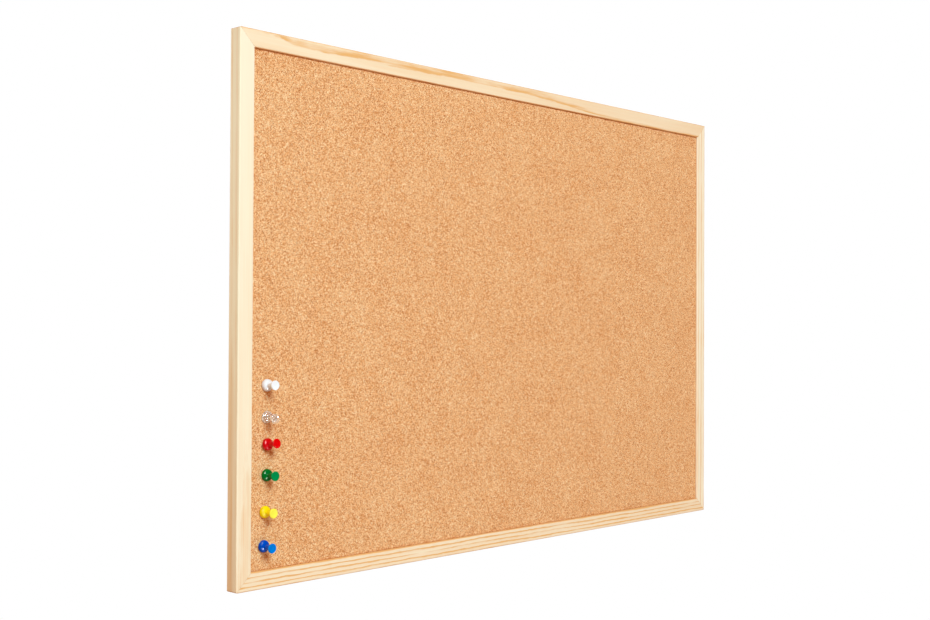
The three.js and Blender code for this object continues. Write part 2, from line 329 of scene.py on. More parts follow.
def stick_warmth(graph, grain, coordinates):
    """How much warmer a stick's wood is by place: along it, in its heart and at its edges.
    At the edge by the cork the tint is partly painted shade.
    """
    along, across, depth = coordinates
    start, end = grain.warmth
    span = (TOP - BOTTOM if grain.turn else RIGHT - LEFT) / MM
    warmth = along * ((end - start) / span) + start
    for pale_from, brown_from, amount in grain.heart:
        brown = graph.rise(along, pale_from, brown_from)
        warmth = warmth + brown * graph.rise(depth, 1.0, 9.0) * amount
    from_edge = graph.math("ABSOLUTE", across)
    width = FACE_WIDTH / MM
    outer, sight = grain.edges
    warmth = warmth + graph.rise(from_edge, 1.3, 0.2) * outer
    # By the edge at the cork: partly the wood's own tint, partly painted shade on the rounded edge
    return warmth + graph.rise(from_edge, width - 0.9, width) * sight


def pine(name, grain, early, late):
    """Bare planed pine: growth rings round a far pith, fine fibres and resin flecks."""
    material, graph, shader = blank(name)
    stick = graph.add("ShaderNodeMapping", inputs={
        "Vector": graph.add("ShaderNodeTexCoord", output="Object"),
        "Location": tuple(offset / MM for offset in grain.place),
        "Rotation": (QUARTER, 0, grain.turn * QUARTER),
        "Scale": (1 / MM,) * 3,
    })
    coordinates = graph.split(stick)

    def streaks(kind):
        """A noise about 0, drawn out along the stick."""
        lengthways, crossways, detail = PINE_NOISES[kind]
        stretched = graph.vector("MULTIPLY", stick, (lengthways, crossways, crossways))
        return graph.noise(stretched, detail, seed=grain.seed) - 0.5

    latewood = growth_rings(graph, grain, coordinates, streaks)
    fibre, streak, broad, patch = [
        streaks(kind) for kind in ("fibre", "streak", "broad", "patch")]
    fleck = graph.rise(streaks("fleck"), 0.2, 0.3)
    lengthways = (0, 0, 1) if grain.turn else (1, 0, 0)
    facing = graph.vector(
        "DOT_PRODUCT", graph.add("ShaderNodeTexCoord", output="Normal"), lengthways)
    end_grain = graph.rise(graph.math("ABSOLUTE", facing), 0.3, 0.6)

    # Tint, from 0 for earlywood to 1 for latewood
    tint = latewood * grain.contrast * (0.8 + streak * 1.8 + patch * 3.0)
    tint = tint + stick_warmth(graph, grain, coordinates) + (broad + streak) * 0.45
    tint = graph.math("MAXIMUM", tint + end_grain * 0.8, 0.0)
    colour = graph.mix(tint, opaque(early), opaque(late))
    shade = 1 + fibre * 0.06 + streak * 0.07 - fleck * 0.07 - end_grain * 0.15
    graph.fill(shader, {
        "Base Color": graph.scaled(colour, shade),
        "Roughness": 0.58 - latewood * 0.1 + fibre * 0.2,
        "Specular IOR Level": 0.2,
        "Normal": graph.bump(fibre * 0.6 - latewood * 0.35 - fleck * 0.5, 0.04 * MM, 0.6),
    })
    return material


def cork(mid, dark, pale, granule, opening):
    """Fine agglomerated cork: pressed granules with bark specks, pale grains and pits, and painted
    shade where it goes under the frame.
    """
    material, graph, shader = blank("pressed_cork")
    spot = graph.object_mm()
    bent = graph.warped(spot, 0.9, 0.9)
    grain = granule / MM

    def shade(size, key):
        """A random value of each granule of this size."""
        return graph.split(graph.cells(graph.scaled(bent, 1 / size), output="Color"))[key]

    # Tone, from dark below 0 to pale above it
    tone = (shade(grain, 0) - 0.5) * 2.0 + (shade(grain * 0.55, 1) - 0.5) * 1.3
    tone = tone + (shade(grain * 4, 2) - 0.5) * 0.15
    tone = tone + (graph.noise(graph.scaled(spot, 0.035), 2.0) - 0.5) * 0.5
    gap = graph.cells(graph.scaled(bent, 1 / grain), "DISTANCE_TO_EDGE")
    seam = 1 - graph.rise(gap, 0.02, 0.13)
    bark = graph.rise(shade(grain * 1.8, 2), 0.95, 0.96)
    light = graph.rise(shade(grain * 1.9, 0), 0.93, 0.94)
    colour = graph.mix(graph.math("MAXIMUM", tone, 0.0), opaque(mid), opaque(pale))
    colour = graph.mix(graph.math("MAXIMUM", -tone, 0.0), colour, opaque(dark))
    colour = graph.mix(light * 0.7, colour, opaque(pale))
    colour = graph.mix(seam * 0.22 + bark * 0.6, colour, opaque(dark))

    # Painted shade: a darker line where the sheet goes under the frame's lip
    x, _, z = graph.split(spot)
    inside = graph.math(
        "MINIMUM", opening[0] / MM - graph.math("ABSOLUTE", x),
        opening[1] / MM - graph.math("ABSOLUTE", z - MIDDLE_Z / MM))
    colour = graph.mix(0.6 - graph.rise(inside, 0.0, 1.2) * 0.6, colour, opaque(dark))

    crumb = graph.noise(graph.scaled(spot, 2.6), 3.0)
    relief = crumb * 0.5 + tone * 0.3 - seam * 0.5 - bark * 0.3
    graph.fill(shader, {
        "Base Color": colour,
        "Roughness": 0.88 - light * 0.1 + (crumb - 0.5) * 0.15,
        "Specular IOR Level": 0.1,
        "Normal": graph.bump(relief, 0.12 * MM, 0.5),
    })
    return material


def fibre_sheet(name, ground, fleck, weave):
    """A pressed sheet of wood fibre: short fibres lying every way, and coarse flecks."""
    material, graph, shader = blank(name)
    spot = graph.object_mm()
    bent = graph.warped(spot, 0.025, 30.0)
    fibres = 0.0
    for turn, seed in ((0.3, 1.0), (1.4, 2.0), (2.4, 3.0)):
        laid = graph.add("ShaderNodeMapping", {"vector_type": "TEXTURE"}, {
            "Vector": bent, "Rotation": (0, turn, 0), "Scale": (8.0, 0.7, 0.6 * weave)})
        fibres = graph.math("MAXIMUM", graph.noise(laid, 2.0, seed=seed), fibres)
    blotch = graph.noise(graph.scaled(spot, 0.02), 3.0)
    specks = graph.rise(graph.cells(graph.scaled(spot, 0.35 / weave)), 0.2, 0.1)
    tint = graph.rise(fibres, 0.5, 0.78) * 0.55 + specks * 0.4 + (blotch - 0.5) * 0.5
    graph.fill(shader, {
        "Base Color": graph.mix(
            graph.math("MAXIMUM", tint, 0.0), opaque(ground), opaque(fleck)),
        "Roughness": 0.82 - specks * 0.12,
        "Specular IOR Level": 0.2,
        "Normal": graph.bump(fibres - specks * 0.3, 0.08 * MM, 0.5),
    })
    return material


def steel(name, colour, roughness, spangle):
    """Plated steel: crystal patches, rolling lines and a few dull spots."""
    material, graph, shader = blank(name)
    spot = graph.object_mm()
    patch = graph.split(graph.cells(graph.scaled(spot, 1.1), output="Color"))[0]
    rolled = graph.noise(graph.vector("MULTIPLY", spot, (0.25, 9.0, 9.0)), 2.0)
    dull = graph.rise(graph.noise(graph.scaled(spot, 0.7), 4.0, 0.65), 0.58, 0.7)
    shine = 1 + (patch - 0.5) * spangle + (rolled - 0.5) * 0.12 - dull * 0.22
    graph.fill(shader, {
        "Base Color": graph.scaled(tuple(colour), shine),
        "Metallic": 1 - dull * 0.15,
        "Roughness": roughness + (rolled - 0.5) * 0.12 + dull * 0.25,
        "Normal": graph.bump(rolled * 0.4 + patch * 0.2 - dull * 0.3, 0.02 * MM, 0.5),
    })
    return material


def moulded_plastic(name, dome, cap, foot, axis):
    """Glossy moulded plastic, its thin cap painted lighter than its dome: painted light for the
    light that comes through the cap.
    """
    material, graph, shader = blank(name)
    place = graph.add("ShaderNodeTexCoord", output="Object")
    height = graph.vector("DOT_PRODUCT", graph.vector("SUBTRACT", place, foot), axis) / MM
    spot = graph.scaled(place, 1 / MM)
    flow = graph.noise(graph.vector("ADD", graph.scaled(spot, 0.35), (7.0, 3.0, 1.0)), 3.0) - 0.5
    rub = graph.noise(graph.vector("MULTIPLY", spot, (5.0, 5.0, 1.2)), 4.0, 0.6)
    # Painted light: the cap's lighter colour stands for light that comes through the thin cap
    upper = graph.rise(height, DOME_COLOUR_END, CAP_COLOUR_START)
    colour = graph.mix(upper, opaque(dome), opaque(cap))
    graph.fill(shader, {
        "Base Color": graph.scaled(colour, 1 + flow * 0.16),
        "Roughness": 0.015 + graph.rise(rub, 0.5, 0.8) * 0.03,
        "Specular IOR Level": 0.16,
        "Normal": graph.bump(rub * 0.1 + flow, 0.01 * MM, 0.06),
    })
    return material


def clear_plastic(name, tint):
    """Water-clear moulded plastic with faint flow lines. Lamps shine through it."""
    material, graph, shader = blank(name)
    spot = graph.object_mm()
    flow = graph.noise(graph.scaled(spot, 0.6), 3.0)
    rub = graph.noise(graph.vector("MULTIPLY", spot, (5.0, 5.0, 1.2)), 4.0, 0.6)
    graph.fill(shader, {
        "Base Color": opaque(tint),
        "Roughness": 0.02 + graph.rise(rub, 0.55, 0.8) * 0.06,
        "IOR": 1.49,
        "Transmission Weight": 0.88,
        "Normal": graph.bump(flow + rub * 0.2, 0.05 * MM, 0.4),
    })
    lamp = graph.add("ShaderNodeLightPath", output="Is Shadow Ray")
    through = graph.add("ShaderNodeBsdfTransparent", inputs={"Color": (0.9, 0.9, 0.9, 1)})
    both = graph.add("ShaderNodeMixShader", inputs={
        "Fac": lamp * 0.5, 1: Wire(graph, shader.outputs[0]), 2: through})
    graph.fill(material.node_tree.nodes["Material Output"], {"Surface": both})
    return material


# Meshes

def outline_mesh(name, points, closed=True, **attributes):
    """A line of edges through points, with a value of each attribute at every point."""
    mesh = bpy.data.meshes.new(name)
    count = len(points)
    edges = [(i, (i + 1) % count) for i in range(count if closed else count - 1)]
    mesh.from_pydata([tuple(p) for p in points], edges, [])
    for label, values in attributes.items():
        kind, field = "FLOAT", "value"
        if isinstance(values[0], tuple):
            kind, field = "FLOAT_VECTOR", "vector"
            values = [part for value in values for part in value]
        mesh.attributes.new(label, kind, "POINT").data.foreach_set(field, values)
    return mesh


def plate_mesh(name, outline):
    """One flat face, its outline given in X and Z."""
    mesh = bpy.data.meshes.new(name)
    mesh.from_pydata([(x, 0, z) for x, z in outline], [], [list(range(len(outline)))])
    return mesh


def linked(name, mesh):
    """An object of a mesh, in the scene."""
    piece = bpy.data.objects.new(name, mesh)
    bpy.context.scene.collection.objects.link(piece)
    return piece


def geometry_tree(name, inputs):
    """A new Geometry Nodes tree with named inputs: its graph, and a wire of each input."""
    tree = bpy.data.node_groups.new(name, "GeometryNodeTree")
    tree.interface.new_socket("Geometry", in_out="OUTPUT", socket_type="NodeSocketGeometry")
    for label, kind in inputs.items():
        tree.interface.new_socket(label, in_out="INPUT", socket_type="NodeSocket" + kind)
    graph = Graph(tree)
    entry = tree.nodes.new("NodeGroupInput")
    return graph, {label: Wire(graph, entry.outputs[label]) for label in inputs}


def close_tree(graph, geometry, material):
    """Ends a tree with realised instances in one material, and gives the tree."""
    real = graph.add("GeometryNodeRealizeInstances", inputs={"Geometry": geometry})
    painted = graph.add(
        "GeometryNodeSetMaterial", inputs={"Geometry": real, "Material": material})
    graph.fill(graph.tree.nodes.new("NodeGroupOutput"), {"Geometry": painted})
    return graph.tree


def grown(tree, base, values):
    """The plain mesh that a tree makes from a base mesh and its inputs."""
    source = linked(base.name, base)
    modifier = source.modifiers.new("growth", "NODES")
    modifier.node_group = tree
    for item in tree.interface.items_tree:
        if item.in_out == "INPUT" and item.name in values:
            modifier[item.identifier] = values[item.name]
    depsgraph = bpy.context.evaluated_depsgraph_get()
    mesh = bpy.data.meshes.new_from_object(source.evaluated_get(depsgraph), depsgraph=depsgraph)
    bpy.data.objects.remove(source)
    if not mesh.polygons:
        raise RuntimeError(f"{tree.name} made nothing of {mesh.name}")
    finish = next(material for material in mesh.materials if material)
    mesh.materials.clear()
    mesh.materials.append(finish)
    return mesh


def finished(name, mesh, body, slot, *nodes, sharp=32):
    """A piece of a finished mesh: closed, smooth up to an angle, riding for its CAD nodes."""
    shell = bmesh.new()
    shell.from_mesh(mesh)
    bmesh.ops.remove_doubles(shell, verts=shell.verts, dist=WELD)
    bmesh.ops.triangulate(shell, faces=[face for face in shell.faces if len(face.verts) > 4])
    shell.to_mesh(mesh)
    shell.free()
    mesh.shade_smooth()
    mesh.set_sharp_from_angle(angle=math.radians(sharp))
    mesh.name = name
    piece = linked(name, mesh)
    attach(piece, body)
    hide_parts(*nodes)
    return piece


def discard(*pieces):
    """Removes objects that only served to make others."""
    for piece in pieces:
        bpy.data.objects.remove(piece)


def prism(shell, outline, back, thickness):
    """Adds a straight block to a shell: its outline in X and Z, forward from its back."""
    rings = [[shell.verts.new((x, y, z)) for x, z in outline] for y in (back, back - thickness)]
    count = len(outline)
    for i in range(count):
        j = (i + 1) % count
        shell.faces.new((rings[0][i], rings[0][j], rings[1][j], rings[1][i]))
    shell.faces.new(rings[0][::-1])
    shell.faces.new(rings[1])


def turned(shell, profile, matrix, segments):
    """Adds a turned block to a shell: points of radius and height, from axis to axis."""
    rows = []
    for radius, height in profile:
        if radius == 0:
            rows.append([shell.verts.new(matrix @ Vector((0, 0, height)))] * segments)
            continue
        angles = [2 * math.pi * i / segments for i in range(segments)]
        rows.append([
            shell.verts.new(matrix @ Vector((radius * math.cos(a), radius * math.sin(a), height)))
            for a in angles])
    for low, high in zip(rows, rows[1:]):
        for i in range(segments):
            j = (i + 1) % segments
            shell.faces.new(tuple(dict.fromkeys((low[i], low[j], high[j], high[i]))))


def shell_mesh(name, shell):
    """A mesh of a shell whose faces point outwards."""
    bmesh.ops.recalc_face_normals(shell, faces=shell.faces)
    mesh = bpy.data.meshes.new(name)
    shell.to_mesh(mesh)
    shell.free()
    return mesh


def arc(centre, radii, start, end, steps):
    """Points of an elliptical arc between two angles in degrees."""
    angles = [math.radians(start + (end - start) * i / steps) for i in range(steps + 1)]
    return [
        (centre[0] + radii[0] * math.cos(a), centre[1] + radii[1] * math.sin(a)) for a in angles]


def bezier(a, b, c, d, steps):
    """Points of a cubic curve, without its first."""
    points = []
    for i in range(1, steps + 1):
        t = i / steps
        s = 1 - t
        weights = (s * s * s, 3 * s * s * t, 3 * s * t * t, t * t * t)
        points.append(tuple(
            sum(w * p[k] for w, p in zip(weights, (a, b, c, d))) for k in (0, 1)))
    return points


# Trees

def shape_of(graph, target):
    """The geometry of an object that a tree is given."""
    return graph.add("GeometryNodeObjectInfo", inputs={"Object": target}, output="Geometry")


def cut_from(graph, body, waste):
    """A body with the shape of a waste object cut out of it."""
    return graph.add(
        "GeometryNodeMeshBoolean", {"operation": "DIFFERENCE", "solver": "MANIFOLD"},
        {"Mesh 1": body, "Mesh 2": shape_of(graph, waste)})


def moved(graph, geometry, place, turn=(0, 0, 0)):
    """Geometry turned, then moved to its place."""
    return graph.add("GeometryNodeTransform", inputs={
        "Geometry": geometry, "Translation": place, "Rotation": turn})


def joined(graph, *parts):
    """Parts of a mesh merged where their edges meet."""
    together = graph.add("GeometryNodeJoinGeometry", inputs={"Geometry": list(parts)})
    return graph.add(
        "GeometryNodeMergeByDistance", inputs={"Geometry": together, "Distance": SEAM})


def carried(graph, name, kind="FLOAT"):
    """A value that every point of the base mesh carries."""
    return graph.add("GeometryNodeInputNamedAttribute", {"data_type": kind}, {"Name": name})


def frame_side_tree():
    """A moulding's profile swept along one side, mitred, slotted and set on the board."""
    graph, given = geometry_tree("mitred_frame_side", {
        "Geometry": "Geometry", "Length": "Float", "Ease Steps": "Int", "Glue Line": "Float",
        "Slots": "Object", "Turn": "Float", "Place": "Vector", "Pine": "Material"})
    outline = graph.add("GeometryNodeMeshToCurve", inputs={"Mesh": given["Geometry"]})
    profile = graph.add("GeometryNodeFilletCurve", {"mode": "POLY"}, {
        "Curve": outline, "Count": given["Ease Steps"], "Radius": carried(graph, "ease")})
    half = given["Length"] * 0.5
    path = graph.add("GeometryNodeCurvePrimitiveLine", inputs={
        "Start": graph.combine(-half, 0.0, 0.0), "End": graph.combine(half, 0.0, 0.0)})
    stick = graph.add("GeometryNodeCurveToMesh", inputs={
        "Curve": path, "Profile Curve": profile, "Fill Caps": True})
    x, _, z = graph.split(graph.add("GeometryNodeInputPosition"))
    mitre = graph.math("SIGN", x) * (z - given["Glue Line"] * math.sqrt(0.5))
    mitred = graph.add("GeometryNodeSetPosition", inputs={
        "Geometry": stick, "Offset": graph.combine(mitre, 0.0, 0.0)})
    slotted = cut_from(graph, mitred, given["Slots"])
    placed = moved(graph, slotted, given["Place"], graph.combine(0.0, given["Turn"], 0.0))
    return close_tree(graph, placed, given["Pine"])


def cork_tree():
    """A pressed cork sheet: a grid sunk between its granules, closed behind and pricked."""
    graph, given = geometry_tree("granular_sheet", {
        "Geometry": "Geometry", "Width": "Float", "Height": "Float", "Thickness": "Float",
        "Spacing": "Float", "Lump": "Float", "Relief": "Float", "Seed": "Float",
        "Holes": "Object", "Place": "Vector", "Cork": "Material"})
    grid = graph.add("GeometryNodeMeshGrid", inputs={
        "Size X": given["Width"], "Size Y": given["Height"],
        "Vertices X": given["Width"] / given["Spacing"],
        "Vertices Y": given["Height"] / given["Spacing"]})
    rim = graph.math("COMPARE", graph.add("GeometryNodeInputMeshEdgeNeighbors"), 1.0, 0.1)
    skirt = graph.add("GeometryNodeExtrudeMesh", {"mode": "EDGES"}, {
        "Mesh": grid, "Selection": rim, "Offset": graph.combine(0.0, 0.0, -1.0),
        "Offset Scale": given["Thickness"]})
    foot = Wire(graph, skirt.socket.node.outputs["Top"])
    loop = graph.add("GeometryNodeMeshToCurve", inputs={"Mesh": skirt, "Selection": foot})
    sheet = graph.add("GeometryNodeFillCurve", {"mode": "NGONS"}, {"Curve": loop})
    back = moved(
        graph, graph.add("GeometryNodeFlipFaces", inputs={"Mesh": sheet}),
        graph.combine(0.0, 0.0, -given["Thickness"]))
    spot = graph.add("GeometryNodeInputPosition")
    lumps = graph.add(
        "ShaderNodeTexVoronoi", {"voronoi_dimensions": "4D"},
        {"Vector": graph.vector("DIVIDE", spot, graph.combine(*[given["Lump"]] * 3)),
         "W": given["Seed"], "Scale": 1.0})
    crumbs = graph.add(
        "ShaderNodeTexWhiteNoise", {"noise_dimensions": "4D"},
        {"Vector": spot, "W": given["Seed"]}, "Value")
    pit = graph.rise(lumps, 0.2, 0.9) * 0.6 + crumbs * 0.4
    front = graph.math("GREATER_THAN", graph.split(spot)[2], given["Thickness"] * -0.5)
    sunk = graph.add("GeometryNodeSetPosition", inputs={
        "Geometry": joined(graph, skirt, back),
        "Offset": graph.combine(0.0, 0.0, -pit * given["Relief"] * front)})
    upright = moved(graph, sunk, given["Place"], graph.combine(QUARTER, 0.0, 0.0))
    return close_tree(graph, cut_from(graph, upright, given["Holes"]), given["Cork"])


def driven_plates_tree():
    """Flat steel punched to an outline, one at each station and turned to its side."""
    graph, given = geometry_tree("driven_plates", {
        "Geometry": "Geometry", "Outline": "Object", "Thickness": "Float", "Back": "Float",
        "Steel": "Material"})
    flat = shape_of(graph, given["Outline"])
    block = graph.add("GeometryNodeExtrudeMesh", {"mode": "FACES"}, {
        "Mesh": flat, "Offset": graph.combine(0.0, -1.0, 0.0), "Offset Scale": given["Thickness"],
        "Individual": False})
    plate = joined(graph, block, graph.add("GeometryNodeFlipFaces", inputs={"Mesh": flat}))
    spread = graph.add("GeometryNodeInstanceOnPoints", inputs={
        "Points": given["Geometry"],
        "Instance": moved(graph, plate, graph.combine(0.0, given["Back"], 0.0)),
        "Rotation": graph.combine(0.0, carried(graph, "turn"), 0.0)})
    return close_tree(graph, spread, given["Steel"])


def turned_parts_tree():
    """A profile turned about its axis, one at each station and leaning as it says."""
    graph, given = geometry_tree("turned_parts", {
        "Geometry": "Geometry", "Profile": "Object", "Segments": "Int", "Finish": "Material"})
    profile = graph.add(
        "GeometryNodeMeshToCurve", inputs={"Mesh": shape_of(graph, given["Profile"])})
    axle = graph.add("GeometryNodeCurvePrimitiveCircle", inputs={
        "Resolution": given["Segments"], "Radius": WELD / 10})
    spun = graph.add(
        "GeometryNodeCurveToMesh", inputs={"Curve": axle, "Profile Curve": profile})
    whole = graph.add("GeometryNodeMergeByDistance", inputs={
        "Geometry": graph.add("GeometryNodeFlipFaces", inputs={"Mesh": spun}),
        "Distance": WELD})
    spread = graph.add("GeometryNodeInstanceOnPoints", inputs={
        "Points": given["Geometry"], "Instance": whole,
        "Rotation": carried(graph, "lean", "FLOAT_VECTOR")})
    return close_tree(graph, spread, given["Finish"])


# Shapes shared by pieces and their slots

def corner_nail_outline(sizes, grow=0.0):
    """A V-shaped nail seen from behind, from the board's top left corner."""
    land = sizes.face_width - sizes.rebate_width
    start = sizes.nail_cover - grow
    outer = land - sizes.nail_cover + grow
    inner = land - sizes.nail_cover - sizes.nail_thickness - grow
    return [(start, -outer), (outer, -outer), (outer, -start), (inner, -start),
            (inner, -inner), (start, -inner)]


def panel_point_outline(sizes, grow=0.0):
    """A framer's point, from the outer edge of its side."""
    land = sizes.face_width - sizes.rebate_width
    half = sizes.point_width / 2 + grow
    tip = -sizes.point_cover + 2 * grow
    shoulder = -sizes.point_cover - sizes.point_tip + grow
    end = -land - sizes.point_reach - grow
    return [(0, tip), (-half, shoulder), (-half, end), (half, end), (half, shoulder)]


def nail_profile(sizes, grow=0.0):
    """A hanger nail from its point up to its head, whose underside is at height 0."""
    radius = sizes.hanger_nail_diameter / 2 + grow
    tip = -sizes.hanger_nail_length
    head = sizes.hanger_nail_head / 2
    thick = sizes.hanger_nail_head_thickness
    rim = arc((head - thick * 0.55, thick * 0.4), (thick * 0.55, thick * 0.5), -20, 80, 6)
    return [(0, tip - 2 * grow), (radius * 0.25, tip + 0.4 * MM),
            (radius, tip + sizes.hanger_nail_point), (radius, 0),
            (head * 0.93, 0), *rim, (head * 0.5, thick * 0.97), (0, thick)]


def needle_profile(sizes, grow=0.0, top=None):
    """A pin's needle, from its point up to its seat in the head or to another height."""
    radius = sizes.needle_diameter / 2 + grow
    tip = -sizes.needle_length - 2 * grow
    seat = sizes.needle_seat if top is None else top
    return [(0, tip), (radius * 0.12, tip + 0.1 * MM),
            (radius * 0.93, tip + 0.9 * sizes.needle_point),
            (radius, tip + 1.1 * sizes.needle_point),
            (radius, seat - 0.12 * MM), (radius * 0.8, seat), (0, seat)]


def head_profile(sizes):
    """A push pin's head, from the top of its bore round to the middle of its cap."""
    bore = sizes.needle_diameter / 2 + sizes.needle_room
    seat = sizes.needle_seat + sizes.needle_room
    flange, waist, cap = (
        d / 2 for d in (sizes.flange_diameter, sizes.waist_diameter, sizes.cap_diameter))
    lip, rim, dome = sizes.flange_lip, sizes.cap_rim, sizes.dome_height
    top = sizes.head_height
    base, dish = top - sizes.cap_thickness, top - sizes.cap_dish
    chamfer, fillet, gate = 0.25 * MM, 0.3 * MM, 0.6 * MM
    shoulder = (waist + fillet, dome)
    return [
        (0, seat), (bore, seat), (bore, chamfer), (bore + chamfer, 0),
        *arc((flange - lip, lip), (lip, lip), -90, 0, 5),
        *bezier((flange, lip), (flange, dome * 0.72), (flange - 1.0 * MM, dome - 0.2 * MM),
                shoulder, 16),
        *bezier(shoulder, (waist + 0.1 * MM, dome + 0.04 * MM), (waist, dome + 0.12 * MM),
                (waist, dome + 0.35 * MM), 4),
        *bezier((waist, base - sizes.flare_height), (waist, base - 1.1 * MM),
                (waist + fillet, base - 0.1 * MM), (cap - rim, base), 10),
        *arc((cap - rim, base + rim), (rim, rim), -80, 0, 5),
        *arc((cap - rim, top - rim), (rim, rim), 0, 90, 6),
        *bezier((cap - rim, top), (cap * 0.75, top), (cap * 0.65, dish), (cap * 0.42, dish), 6),
        (gate, dish), (gate * 0.7, dish - 0.4 * sizes.cap_dish), (0, dish - 0.5 * sizes.cap_dish)]


def profile_line(name, profile):
    """An object that gives a tree the profile of a turned part."""
    points = [(radius, -height, 0) for radius, height in profile]
    return linked(name, outline_mesh(name, points, closed=False))


def pin_station(name):
    """Where a pin's axis meets the underside of its flange, and the axis, out of the board."""
    joint = next(j for j in frame["joints"] if j["child"] == f"pin_{name}")
    axis = Vector(joint["axis"]).normalized()
    corners = [v.co for v in frame["nodes"][f"pin_{name}_head"].data.vertices]
    middle = sum(corners, Vector()) / len(corners)
    return middle + axis * min(axis.dot(corner - middle) for corner in corners), axis


def lean_of(axis):
    """The turn that brings the Z axis to this one."""
    return Vector((0, 0, 1)).rotation_difference(axis)


def point_stations(side):
    """Places of a side's framer's points along it, from its middle."""
    spacing = side.length / side.points
    return [(i + 0.5) * spacing - side.length / 2 for i in range(side.points)]


def hanger_nail_nodes():
    """The CAD nodes of the hanger nails."""
    return [f"hanger_nail_{hanger}_{end}" for hanger in HANGERS for end in ("outer", "inner")]


def nail_station(node, sizes):
    """The underside of a hanger nail's head."""
    low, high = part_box(node)
    middle = (low + high) / 2
    return Vector((middle.x, high.y - sizes.hanger_nail_head_thickness, middle.z))


def hanger_blank(length, height, sizes):
    """The sawtooth strip laid flat: its outline and its nail holes, in X and Z."""
    end, half, rounding = length / 2, height / 2, sizes.hanger_round
    pitch, gullet = sizes.tooth_pitch, -half + sizes.tooth_depth
    toothed = length - 2 * (sizes.hanger_tab + sizes.hanger_lift)
    teeth = math.floor(toothed / pitch + 1e-6)
    flat = 0.1 * MM
    outline = []
    for i in range(teeth):
        tip = (i - teeth / 2) * pitch
        middle = tip + pitch / 2
        outline += [(tip, -half), (middle - flat, gullet), (middle + flat, gullet)]
    outline.append((teeth / 2 * pitch, -half))
    for x, z, start in ((end, -half, -90), (end, half, 0), (-end, half, 90), (-end, -half, 180)):
        centre = (x - math.copysign(rounding, x), z - math.copysign(rounding, z))
        outline += arc(centre, (rounding, rounding), start, start + 90, 8)
    radius = sizes.hanger_nail_diameter / 2 + sizes.hanger_nail_room
    holes = [arc((way * (end - sizes.hanger_nail_inset), 0), (radius, radius), 0, 345, 23)
             for way in (-1, 1)]
    return [outline, *holes]


def hanger_mesh(name, length, height, sizes):
    """A sawtooth hanger: the flat strip raised into a bridge between its tabs."""
    shell = bmesh.new()
    edges = []
    for loop in hanger_blank(length, height, sizes):
        ring = [shell.verts.new((x, 0, z)) for x, z in loop]
        edges += [shell.edges.new((a, b)) for a, b in zip(ring, ring[1:] + ring[:1])]
    bmesh.ops.triangle_fill(shell, use_beauty=True, edges=edges)

    # The bends, cut across in steps and then raised
    run, steps = 2.6 * MM, 12
    bend = length / 2 - sizes.hanger_tab + 0.4 * MM
    for way in (-1, 1):
        for i in range(steps + 1):
            cut = (way * (bend - run * i / steps), 0, 0)
            bmesh.ops.bisect_plane(
                shell, geom=[*shell.verts, *shell.edges, *shell.faces], dist=WELD, plane_co=cut,
                plane_no=(1, 0, 0))
    for vertex in shell.verts:
        t = min(max((bend - abs(vertex.co.x)) / run, 0.0), 1.0)
        vertex.co.y = sizes.hanger_lift * t * t * (3 - 2 * t)

    # The strip's thickness, with its second face joined to the first round every rim
    front = shell.faces[:]
    bmesh.ops.recalc_face_normals(shell, faces=front)
    if sum(face.normal.y for face in front) < 0:
        bmesh.ops.reverse_faces(shell, faces=front)
    shell.normal_update()
    rims = [edge for edge in shell.edges if edge.is_boundary]
    copy = bmesh.ops.duplicate(shell, geom=[*shell.verts, *shell.edges, *front])
    pairs = copy["vert_map"]
    for vertex in {v for face in front for v in face.verts}:
        pairs[vertex].co = vertex.co + vertex.normal * sizes.hanger_thickness
    bmesh.ops.reverse_faces(shell, faces=front)
    for a, b in (edge.verts for edge in rims):
        shell.faces.new((a, b, pairs[b], pairs[a]))
    return shell_mesh(name, shell)


# Settings

def length(name, description, millimetres):
    """A setting of a size."""
    return FloatProperty(
        name=name, description=description, default=millimetres * MM, min=0, precision=5,
        unit="LENGTH")


def paint(name, description, *display):
    """A setting of a colour, given in display values of 0 to 255."""
    return FloatVectorProperty(
        name=name, description=description, default=linear(*display), min=0, max=1,
        subtype="COLOR")


def power(name, description, watts):
    """A setting of a lamp's power."""
    return FloatProperty(name=name, description=description, default=watts, min=0, unit="POWER")


class FrameSettings(bpy.types.PropertyGroup):
    """Sizes and colours of the mitred pine frame and what is driven into it."""

    face_width: length("Face Width", "Width of the moulding seen from the front", FACE_WIDTH / MM)
    rebate_width: length("Rebate Width", "How far the lip reaches over the panel", 5.0)
    sight_ease: length("Sight Edge", "Rounding of the edge next to the cork", 1.0)
    outer_ease: length("Outer Edge", "Rounding of the front outer edge", 1.0)
    back_ease: length("Back Edge", "Rounding of the edge at the wall", 0.6)
    corner_round: length("Corner", "Rounding of the board's outer corners", 1.5)
    glue_line: length("Glue Line", "Gap between the mitred ends", 0.1)
    ease_steps: IntProperty(
        name="Ease Steps", description="Facets round each eased edge", default=7, min=1)
    early_pine: paint("Earlywood", "Pale wood between the growth lines", 252, 238, 207)
    late_pine: paint("Latewood", "Orange wood of the growth lines", 235, 180, 113)
    nail_cover: length("Corner Nail Cover", "Wood left round a corner nail", 1.6)
    nail_thickness: length("Corner Nail Thickness", "Thickness of the V-shaped strip", 0.5)
    nail_depth: length("Corner Nail Depth", "How deep a corner nail goes", 6.0)
    nail_sink: length("Corner Nail Sink", "How far a corner nail sits below the back", 0.3)
    point_width: length("Point Width", "Width of a framer's point", 6.0)
    point_thickness: length("Point Thickness", "Thickness of a framer's point", 0.5)
    point_tip: length("Point Tip", "Length of the pointed end", 3.0)
    point_cover: length("Point Cover", "Wood left beyond the tip", 3.0)
    point_reach: length("Point Reach", "How far a point lies on the backing", 7.0)
    drive_clearance: length("Drive Clearance", "Room round what is driven in", 0.15)


